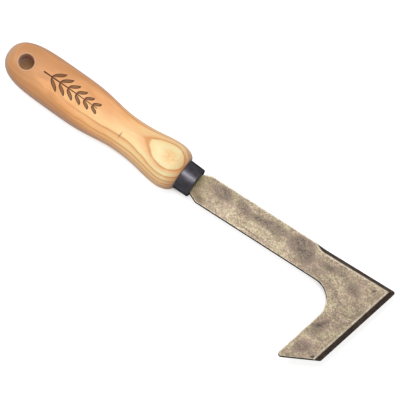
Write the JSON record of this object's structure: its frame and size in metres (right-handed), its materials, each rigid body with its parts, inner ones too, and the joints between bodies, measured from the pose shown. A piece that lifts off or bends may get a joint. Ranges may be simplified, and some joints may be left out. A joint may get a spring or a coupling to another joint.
{
  "type": "weeding knife",
  "caption": "Short hand weeder: L-shaped steel blade bevelled along its outer edges, tang set through a black ferrule into a shaped ash handle with a hanging hole.",
  "frame": {"origin": "middle of the hanging hole, half way through the handle's thickness", "axes": "+X along the handle towards the blade, +Z along the hanging hole and square to the blade's bevelled face, +Y away from the foot of the blade"},
  "size_m": [0.2991, 0.0785, 0.027],
  "materials": {
    "handle_wood": "satin clear lacquer on ash",
    "ferrule_black": "satin black",
    "blade_steel": "matt khaki-grey, mottled, with dark ground bevels"
  },
  "bodies": {
    "root": {"handle": "handle_wood", "ferrule": "ferrule_black", "blade": "blade_steel"}
  },
  "joints": []
}
